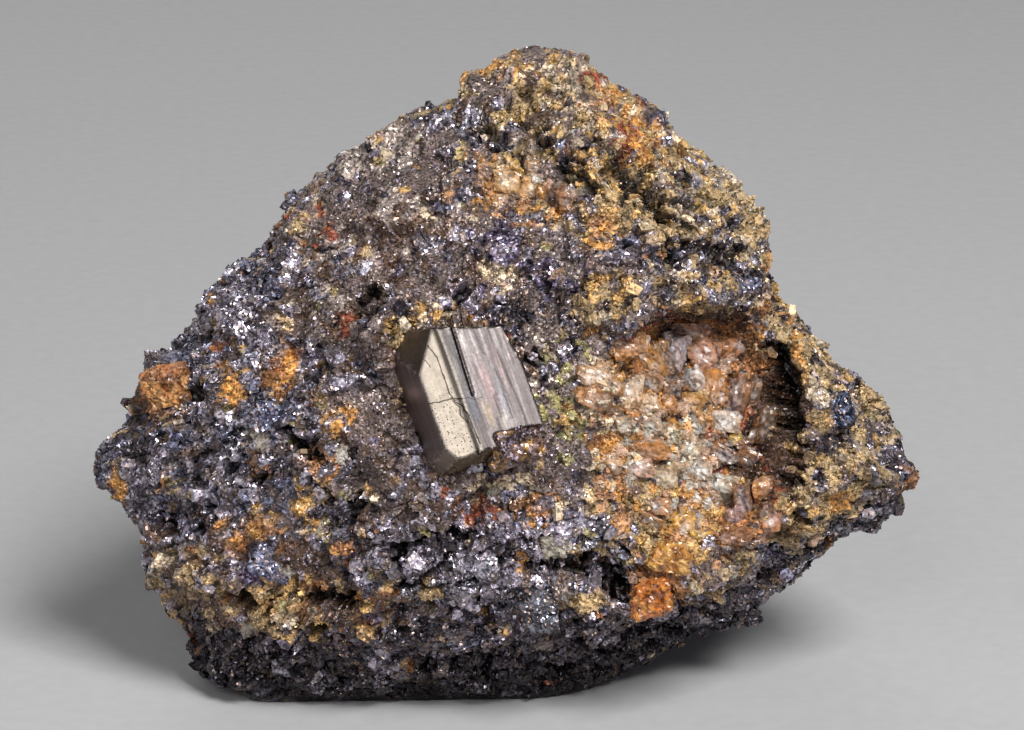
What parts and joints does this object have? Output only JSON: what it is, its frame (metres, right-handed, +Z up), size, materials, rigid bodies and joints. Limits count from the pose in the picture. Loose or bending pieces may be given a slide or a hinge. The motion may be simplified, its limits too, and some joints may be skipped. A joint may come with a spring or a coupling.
{
  "type": "cobaltite mineral specimen",
  "caption": "Striated silvery cobaltite crystal standing out of a broken lump of granular sulphide and mica rock, with a hollow lined by iron-stained quartz beside it.",
  "frame": {"origin": "on the flat break the rock rests on, about the middle of it", "axes": "+Z up out of the resting break, -Y the side the cobaltite crystal faces, +X to that side's right along the rock's longest way"},
  "size_m": [0.0497, 0.0312, 0.0376],
  "materials": {
    "matrix_rock": "rough granular sulphide and mica rock, sparkling grains, rusty and ochre stains",
    "cobaltite": "bright metallic, finely striated, faint iridescent tarnish",
    "brown_gangue": "rough, iron stained",
    "stained_quartz": "glassy to greasy, translucent, orange to pink iron stain",
    "rusty_carbonate": "dull to waxy, rust orange",
    "pale_quartz": "glassy, translucent",
    "dark_sulphide": "dark metallic, flat cleaved faces",
    "blue_sulphide": "dark metallic with blue tarnish",
    "violet_sulphide": "metallic with violet and blue tarnish"
  },
  "bodies": {
    "root": {"matrix_rock": "matrix_rock", "cobaltite_crystal": "cobaltite", "crystal_corner_fill": "brown_gangue", "hollow_quartz_crust": "stained_quartz", "upper_quartz_crust": "stained_quartz", "rust_orange_grain": "rusty_carbonate", "amber_grain": "stained_quartz", "pale_quartz_grain": "pale_quartz", "dark_sulphide_grain": "dark_sulphide", "blue_sulphide_grain": "blue_sulphide", "violet_sulphide_grain": "violet_sulphide", "rusty_edge_grain": "rusty_carbonate"}
  },
  "joints": []
}
